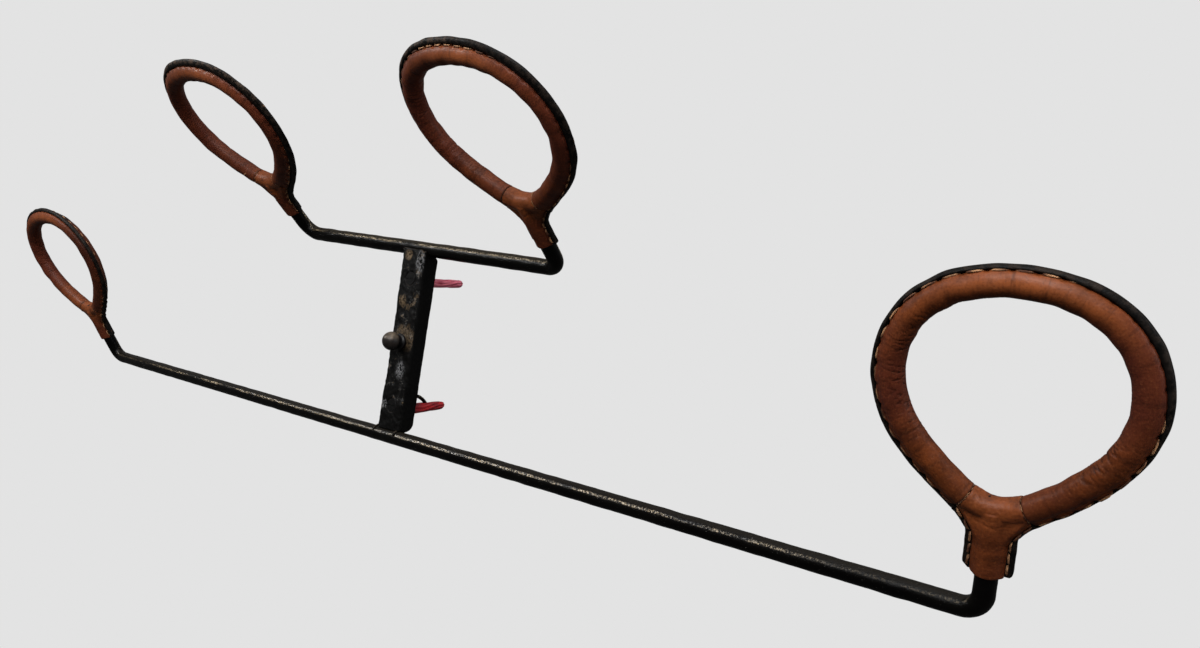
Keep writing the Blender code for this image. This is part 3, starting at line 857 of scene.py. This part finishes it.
def front_section(loop, angle, holes):
    """Tan leather's section: from the rear seam round the inside and the front to the stitch line, and
    back under itself. Between stitch holes its edge swells a little."""
    edge = loop.groove(angle) - 0.32 * MM * holes
    lip = loop.groove_rise(angle) + 0.15 * MM - 0.75 * MM * holes
    columns = []
    for degrees in np.linspace(REAR_SEAM, FRONT_LEAVES, 44):
        tuck = 0.35 * MM * smoothstep(REAR_SEAM - 5, REAR_SEAM, degrees)
        columns.append(polar(SKIN_OUT - tuck, degrees))
    start_e, start_n = columns[-1]
    for t in np.linspace(0.14, 1.0, 7):
        swell = 0.14 * MM * math.sin(math.pi * t) * (1 - holes)
        columns.append((start_e + (edge - start_e) * t + swell, start_n + (lip - start_n) * t + swell))
    columns += [(edge + 0.20 * MM, lip - 0.25 * MM), (edge + 0.18 * MM, lip - 0.75 * MM),
                (edge - 0.25 * MM, lip - 1.2 * MM)]
    columns += [polar(SKIN_IN, degrees) for degrees in np.linspace(9, REAR_SEAM, 18)]
    return section_rows(columns, len(angle))


def back_section(loop, angle, holes):
    """Black leather's section: from the rear seam round the outside, over the rounded edge and down to
    the stitch line."""
    groove, tip, rise = loop.groove(angle), loop.tip(angle), loop.groove_rise(angle)
    fold = loop.within("fold", angle)
    start = REAR_SEAM - 360.6
    edge_n = -0.1 * MM
    columns = []
    for degrees in np.linspace(start, -46, 16):
        tuck = 0.35 * MM * smoothstep(start + 5, start, degrees)
        columns.append(polar(SKIN_OUT - 0.05 * MM - tuck, degrees))
    rear = tip - columns[-1][0]
    for degrees in np.linspace(82, 6, 9):
        outward, back = polar(1, degrees)
        notch = 0.2 * MM * holes * back
        columns.append((tip - rear * (1 - outward) ** 0.85, edge_n - (2.1 * MM - notch) * back))
    inner = groove + (0.55 - 0.60 * fold) * MM
    width = tip - inner
    crest = 2.15 * MM + 0.15 * MM * fold
    for degrees in np.linspace(0, 90, 10):
        outward, front = polar(1, degrees)
        columns.append((tip - 0.72 * width * (1 - outward), edge_n + (crest - 0.12 * MM * holes) * front))
    columns += [(inner + 0.12 * width, crest - 0.30 * MM - 0.2 * MM * holes),
                (inner, crest - 0.95 * MM - 0.2 * MM * holes),
                (groove - 0.15 * MM, rise - 1.75 * MM), (5.0 * MM, 0.25 * MM)]
    columns += [polar(SKIN_IN, degrees) for degrees in np.linspace(1, start, 9)]
    return section_rows(columns, len(angle))


def creased(section, loop, run, angle, depth, seed, at_seam):
    """Folds across the leather, where the loop is creased, and its slow unevenness: the changed section
    and how deep in a fold each point lies."""
    turn = np.unwrap(np.arctan2(section[..., 1], section[..., 0]), axis=1)
    reach = np.hypot(section[..., 0], section[..., 1])
    along = np.broadcast_to(run[:, None], reach.shape)
    folds = ripple(np.stack([along, 0.20 * turn * SKIN_OUT], -1), 4.2 * MM, seed)
    swells = ripple(np.stack([along, turn * SKIN_OUT], -1), 14 * MM, seed + 1)
    degrees = np.degrees(turn) % 360
    inside = smoothstep(80, 140, degrees) * smoothstep(285, 240, degrees)
    valleys = np.clip(1 - np.abs(folds) / 0.30, 0, 1) * (0.3 + 0.7 * inside) * loop.creases(angle)[:, None]
    change = -valleys * depth + swells * 0.10 * MM - 0.28 * MM * at_seam[:, None]
    change *= smoothstep(SKIN_IN, SKIN_IN + 0.6 * MM, reach)
    return section * (1 + change / np.maximum(reach, MM))[..., None], valleys


def tint_front(obj, loop, degrees, e, valleys, at_seam):
    """Paint the ring's tan leather: paler on top, partly from handling and partly as a painted highlight;
    reddened on its flanks; painted shade in its folds; darker along its seams and over the lower left loop's
    right arc.
    """
    # The paler band across the section peaks just outside the tube's front, where the lamp's highlight falls:
    # painted highlight as well as handling.
    middle, spread, strength = loop.sewing["handled_and_highlight"]
    outer = smoothstep(-3.4 * MM, 1.6 * MM, e) * (1 - 0.45 * smoothstep(1.5 * MM, 5.0 * MM, e))
    foot = bell((degrees + 180) % 360 - 180, 0, 24)
    red = bell(degrees, 122, 26) + bell(degrees, 258, 26)
    # Painted shade in the fold valleys, and darker along the seams.
    dark = np.maximum(valleys, np.minimum(1.5 * np.sqrt(at_seam), 1))
    if loop.key != "lower_right":
        red += 0.45
        dark *= 0.6
    if loop.key == "lower_left":
        foot += 0.9 * bell(degrees, 316, 24)
        # Darker over the lower left loop's right arc.
        dark = np.maximum(dark, 0.85 * bell(degrees, 116, 27))
    paint(obj, "reddened", np.clip(red, 0, 1) + 0 * e)
    # Painted highlight and handling: paler over the top, near the foot and on the lower left loop's lower
    # left arm.
    paint(obj, "handled_and_highlight", strength * bell(degrees, middle, spread) * outer + 0.25 * foot)
    paint(obj, "creased", dark)


def make_cover(loop, run, holes, at_seam, name, shape, depth, mat):
    """One half of the ring's cover, in the loop's own frame."""
    angle = loop.angle_at(run)
    seed = loop.seed + len(name)
    section, valleys = creased(shape(loop, angle, holes), loop, run, angle, depth, seed, at_seam)
    girth = np.cumsum(np.linalg.norm(np.diff(section, axis=1), axis=2), axis=1)
    surface = laid_out(run, np.concatenate([np.zeros((len(run), 1)), girth], axis=1))
    e, n = section[..., 0], section[..., 1]
    rubbed = smoothstep(0.72, 0.92, e / loop.tip(angle)[:, None]) * smoothstep(-1.2 * MM, 1.2 * MM, n)
    wear = rubbed * (0.22 + 0.78 * loop.within("rubbed", angle, 14))[:, None]
    obj = make_object(loop.key + "_" + name, *skin(loop.swept(angle, section)), mat, surface, wear)
    degrees = np.degrees(angle)[:, None]
    if mat == TAN:
        tint_front(obj, loop, degrees, e, valleys, at_seam[:, None])
    elif loop.key == "lower_left":
        band = smoothstep(78, 92, degrees) * smoothstep(150, 128, degrees)
        paint(obj, "browned", band * smoothstep(-0.2 * MM, -1.1 * MM, n))
    return loop.move(obj)


def make_ring(loop):
    """Tan front and black back of the ring, and the stitches that join them."""
    seam = YOKE_ANGLE - math.radians(0.15)
    first, last = loop.run(seam), loop.run(2 * math.pi - seam)
    count = round((last - first) / (loop.sewing["pitch"] * MM))
    pitch = (last - first) / count
    run = np.linspace(first, last, int((last - first) / RUN_STEP))
    holes = pinch(run, pitch, first)
    at_seam = bell(run, first, SEAM_WIDTH) + bell(run, last, SEAM_WIDTH)
    front = make_cover(loop, run, holes, at_seam, "front_leather", front_section, 0.62 * MM, TAN)
    place(front, loop.key + "_loop_front", slot="tan_leather")
    back = make_cover(loop, run, holes, at_seam, "back_leather", back_section, 0.12 * MM, BLACK)
    place(back, loop.key + "_loop_back", slot="black_leather")
    sew_ring(loop, first, pitch, count)


def sew(loop, name, threads):
    """One piece from lengths of thread, each a path, its radius, its sides and its place along the seam."""
    parts = [skin(tube(path, radius, around)) for path, radius, around, _ in threads]
    surface = [laid_out(along, np.linspace(0, THREAD_GIRTH, around)) for _, _, around, along in threads]
    stitches = make_object(loop.key + name, *join(parts), THREAD, np.concatenate(surface))
    place(loop.move(stitches), slot="tan_leather")


def ends(t, length):
    """1 at both ends of a stitch, 0 between them."""
    return smoothstep(length, 0.0, np.minimum(t, 1 - t))


def sew_ring(loop, first, pitch, count):
    """Saddle stitches round the ring: in front along the stitch line, behind nearly halfway to the edge."""
    t = np.linspace(0, 1, 9)
    dive = ends(t, 0.22)
    threads = []
    for face in ("front", "rear"):
        for k in range(count):
            where = loop.angle_at(first + (k + 0.12 + 0.76 * t) * pitch)
            groove, tip = loop.groove(where), loop.tip(where)
            if face == "front":
                raised, fold = loop.within("raised", where), loop.within("fold", where)
                e = groove + (0.12 + 0.38 * raised - 0.3 * dive) * MM
                n = loop.groove_rise(where) + (0.45 * raised - 1.25 * fold - 1.4 * dive) * MM
            else:
                e = groove + (tip - groove) * 0.45
                curl = ((tip - e) / (tip - 4.0 * MM)) ** 1.18
                n = -(0.1 + 2.1 * np.sqrt(2 * curl - curl ** 2) - 1.0 * dive) * MM
            threads.append((loop.points(where, e, n), RING_THREAD_R * (1 - 0.3 * dive), 8, (k + t) * pitch))
    sew(loop, "_stitches", threads)


def yoke_side(loop, side, arm_reach, half_width, foot, start=WEB_START):
    """One side of an outline on the yoke, from start degrees down to its foot, as (u, v) points. arm_reach
    gives the distance from the core at the seam; it grows into a web between the arm and the stem. foot
    is the corner's height, cut and end, in mm."""
    degrees = np.linspace(start, WEB_END, 9)
    web = WEB_DEPTH * (np.clip(WEB_START - degrees, 0, None) / (WEB_START - WEB_END)) ** 1.5
    angles = np.radians(degrees) * side
    reach = arm_reach(np.radians(WEB_START) * side + 0 * angles) + web
    arm = (loop.line(angles) + loop.out(angles) * reach[:, None])[:, [0, 2]]
    edge = side * half_width
    slope = (arm[-1] - arm[-2]) / np.linalg.norm(arm[-1] - arm[-2])
    corner = np.array([edge, arm[-1][1] + slope[1] * (edge - arm[-1][0]) / slope[0]])
    low = corner - np.array([0, 2.8 * MM])
    curve = [(1 - t) ** 2 * arm[-1] + 2 * t * (1 - t) * corner + t * t * low for t in np.linspace(0.15, 1, 7)]
    height, cut, end = foot
    return np.array([*arm, *curve, (edge, height * MM), (edge - side * cut * MM, end * MM)])


def yoke_plate(loop, arm_reach, half_width, near, far, left_foot, right_foot, start=WEB_START):
    """A flat plate with the yoke's outline, from near to far mm in front of the core."""
    left = yoke_side(loop, -1, arm_reach, half_width, left_foot, start)
    right = yoke_side(loop, 1, arm_reach, half_width, right_foot, start)
    top = loop.line(np.radians(np.linspace(start, -start, 12)))[:, [0, 2]]
    outline = np.concatenate([top, left, right[::-1]])
    return skin(np.array([[(u, -n * MM, v) for u, v in outline] for n in (near, far)]))


def make_yoke(loop):
    """Y-shaped leather over the loop's foot and the stem: tan in front, black behind."""
    reach = YOKE_ANGLE - math.radians(0.45)
    angle = np.linspace(-reach, reach, 40)
    foot_v = float(loop.line(0.0)[2])

    def stem(columns, low):
        return skin(np.array([[(u * MM, -n * MM, v) for u, n in columns] for v in (low * MM, foot_v)]))

    def ring_of(radius):
        return [polar(radius, degrees) for degrees in np.linspace(0, 360, 28, endpoint=False)]

    arms = section_rows(ring_of(5.55 * MM), len(angle))
    black_parts = [skin(loop.swept(angle, arms)), stem(ring_of(6.1), 21.6),
                   yoke_plate(loop, lambda a: loop.tip(a) - 0.1 * MM, SHEATH_HALF_WIDTH, -1.15, 1.55,
                              (24.0, 2.4, 21.4), (22.9, 1.2, 21.7), start=23.0)]
    black = fused(loop.key + "_yoke_black", black_parts, YOKE_VOXEL, 5, BLACK)

    crown = [np.multiply(polar(1, degrees), (6.6, 6.5)) for degrees in range(32, 150, 7)]
    panel = [(6.6, 0.9), (6.9, 1.9), (6.2, 2.8), *crown, (-6.2, 2.8), (-6.9, 1.9), (-6.6, 0.9)]
    tan_parts = [skin(loop.swept(angle, front_section(loop, angle, 0 * angle))), stem(panel, 21.0)]
    for inset, half_width, top, left_foot, right_foot in (
            (0, 7.2, 2.4, (22.0, 0.8, 21.2), (21.6, 0.5, 20.9)),
            (1.2, 6.2, 3.5, (26.0, 0.8, 24.2), (26.0, 0.8, 24.2)),
            (2.3, 5.0, 4.4, (30.0, 0.8, 28.2), (30.0, 0.8, 28.2))):
        tan_parts.append(yoke_plate(loop, lambda a: loop.groove(a) - inset * MM, half_width * MM, 1.0, top,
                                    left_foot, right_foot))
    tan = fused(loop.key + "_yoke_tan", tan_parts, YOKE_VOXEL, 18, TAN)

    def folded(spots, normal):
        u, v = spots[:, 0] / MM, (spots[:, 2] - foot_v) / MM
        front = smoothstep(0.1, 0.7, -normal[:, 1])
        sag = -5.4 + 0.014 * u ** 2 + 0.25 * np.sin(0.9 * u + loop.seed)
        fold = bell(v, sag, 0.7) * smoothstep(11, 6, np.abs(u))
        return (-0.22 * MM * fold * front + 0.08 * MM * ripple(spots, 9 * MM, loop.seed + 7)
                + 0.03 * MM * ripple(spots, 2.5 * MM, loop.seed + 8))

    push_out(tan.data, folded)
    push_out(black.data, lambda spots, normal: 0.06 * MM * ripple(spots, 6 * MM, loop.seed + 9))
    for obj, mat_slot, node in ((tan, "tan_leather", "_yoke_front"), (black, "black_leather", "_yoke_back")):
        spots, _ = vertex_data(obj.data)
        upper = smoothstep(foot_v - 13 * MM, foot_v - 3 * MM, spots[:, 2])
        add_surface(obj.data, spots[:, [2, 0]])
        paint(obj, "wear", np.full(len(spots), 0.1))
        # Painted highlight as well as handling: paler towards the yoke's top, where it faces up.
        paint(obj, "handled_and_highlight", 0.05 + 0.30 * upper)
        paint(obj, "reddened", (0.1 if loop.key == "lower_right" else 0.7) * (1 - upper))
        place(loop.move(obj), loop.key + node, slot=mat_slot)


def sew_yoke(loop):
    """Stitches down both sides of the stem, in front and behind."""
    t = np.linspace(0, 1, 9)
    dive = ends(t, 0.25)
    threads = []
    for side, half_width in ((-1, 8.1 * MM), (1, 8.0 * MM)):
        line = yoke_side(loop, side, lambda a: loop.groove(a) + 0.8 * MM, half_width, (22.6, 0.2, 22.2))[:-1]
        spots, along = resampled(line, 0.25 * MM)
        count = int(round(along[-1] / YOKE_STITCH))
        for face, lift in ((1, 2.25), (-1, 1.25)):
            for k in range(count):
                at = (k + 0.06 + 0.88 * t) * along[-1] / count
                u = np.interp(at, along, spots[:, 0]) + 0.35 * MM * (t - 0.5) * side
                v = np.interp(at, along, spots[:, 1])
                n = face * (lift * MM - 1.1 * MM * dive)
                threads.append((np.stack([u, -n, v], -1), YOKE_THREAD_R * (1 - 0.3 * dive), 8, at))
    sew(loop, "_yoke_stitches", threads)


def sew_seams(loop):
    """Fine whip stitches that close each joint between the ring's cover and the yoke, and one coarse
    stitch on the upper left loop's arm."""
    rng = np.random.default_rng(loop.seed + 5)
    t = np.linspace(0, 1, 7)
    threads = []

    def stitch(where, turn, lift, radius, around):
        reach = SKIN_OUT + lift - 0.5 * MM * ends(t, 0.2)
        path = loop.points(where, reach * np.cos(turn), reach * np.sin(turn))
        threads.append((path, radius, around, reach * turn))

    turns = np.radians(np.linspace(40, 195, 12))
    for side in (-1, 1):
        for first, last in zip(turns, turns[1:]):
            if rng.uniform() < 0.25:
                continue
            swing = math.radians(0.9) * (t - 0.5) * rng.uniform(-1, 1)
            stitch(YOKE_ANGLE * side + swing, first + (last - first) * t, 0.1 * MM, 0.17 * MM, 6)
    if loop.key == "upper_left":
        stitch(math.radians(322) + 0.03 * t, math.radians(95) + 0.42 * t, 0.30 * MM, 0.42 * MM, 8)
    sew(loop, "_seam_thread", threads)


# ---------------------------------------------------------------- stage

def make_stage():
    """A floor and a far backdrop of one even pale tone, whatever light falls on them, and a soft sky."""
    tone = bpy.data.materials.new("pale_backdrop")
    tone.use_nodes = True
    shader = tone.node_tree.nodes["Principled BSDF"]
    for socket, value in (("Base Color", (0, 0, 0, 1)), ("Specular IOR Level", 0),
                          ("Emission Color", linear(227, 227, 227)), ("Emission Strength", 1.0)):
        shader.inputs[socket].default_value = value
    for name, height, build in (
            ("floor", -0.9, lambda bm: bmesh.ops.create_grid(bm, x_segments=1, y_segments=1, size=6.0)),
            ("backdrop", 0, lambda bm: bmesh.ops.create_icosphere(bm, subdivisions=3, radius=25.0))):
        mesh = bpy.data.meshes.new(name)
        edited(mesh, build)
        mesh.materials.append(tone)
        obj = in_scene(name, mesh)
        obj.location.z = height
        obj.visible_diffuse = obj.visible_glossy = obj.visible_shadow = False
        obj.visible_transmission = False

    world = bpy.data.worlds.new("studio")
    bpy.context.scene.world = world
    world.use_nodes = True
    tree = world.node_tree
    ray = tree.nodes.new("ShaderNodeTexCoord")
    split = tree.nodes.new("ShaderNodeSeparateXYZ")
    strength = tree.nodes.new("ShaderNodeMapRange")
    for socket, value in (("From Min", -0.3), ("From Max", 0.9), ("To Min", 0.065), ("To Max", 0.28)):
        strength.inputs[socket].default_value = value
    background = tree.nodes["Background"]
    background.inputs["Color"].default_value = (1, 1, 1, 1)
    tree.links.new(ray.outputs["Generated"], split.inputs[0])
    tree.links.new(split.outputs["Z"], strength.inputs["Value"])
    tree.links.new(strength.outputs["Result"], background.inputs["Strength"])


def softbox(name, at, towards, size, power, tint=(1, 1, 1)):
    """A rectangular area light at one place, aimed at another."""
    data = bpy.data.lights.new(name, "AREA")
    data.shape = "RECTANGLE"
    data.size, data.size_y = size
    data.energy = power
    data.color = tint
    lamp = in_scene(name, data)
    lamp.location = at
    lamp.rotation_euler = (Vector(towards) - Vector(at)).to_track_quat("-Z", "Y").to_euler()


def make_camera():
    """Camera close to the right-hand end of the rack, looking left along it."""
    data = bpy.data.cameras.new("camera")
    data.sensor_width = 36.0
    data.lens = 27.15
    data.shift_x, data.shift_y = -0.0228, 0.0445
    data.clip_start, data.clip_end = 0.02, 60.0
    camera = in_scene("camera", data)
    heading, pitch, roll = math.radians(36.13), math.radians(-2.29), math.radians(9.12)
    camera.matrix_world = (Matrix.Translation((0.4965, -0.4240, 0.0257)) @ Matrix.Rotation(heading, 4, "Z")
                           @ Matrix.Rotation(math.pi / 2 + pitch, 4, "X") @ Matrix.Rotation(roll, 4, "Z"))
    bpy.context.scene.camera = camera


# ---------------------------------------------------------------- build

def main():
    bpy.context.scene.view_settings.view_transform = "Standard"
    loops = [Loop(key) for key in LOOPS]
    make_camera()
    make_stage()
    softbox("key", (0.42, -1.16, 0.86), (0.10, -0.05, 0.0), (1.2, 0.8), 21)
    softbox("glint", (-0.73, -0.65, 0.50), (0.05, -0.02, -0.05), (0.30, 0.07), 4)
    softbox("overhead", (0.1, -0.30, 1.3), (0.05, -0.05, 0.0), (1.5, 0.6), 4)
    softbox("right", (1.5, 0.1, 0.5), (0.2, -0.05, 0.0), (0.5, 0.9), 3.5, (0.93, 0.96, 1.0))

    make_rod("lower_forged_rod", "lower", loops)
    make_rod("upper_forged_rod", "upper", loops)
    make_bar()
    make_welds()
    make_knob()
    screw = painted_screw()
    make_screw("upper", screw)
    make_screw("lower", screw)
    make_plug("upper", 1.0, plug_plastic("plug_rose", (232, 124, 142), (176, 62, 86)))
    make_plug("lower", 1.22, plug_plastic("plug_red", (186, 32, 38), (126, 12, 28)))
    make_wire()
    for loop in loops:
        make_ring(loop)
        make_yoke(loop)
        sew_yoke(loop)
        sew_seams(loop)
        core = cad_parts[loop.key + "_loop_core"]
        core.data.materials.clear()
        core.data.materials.append(IRON)


main()
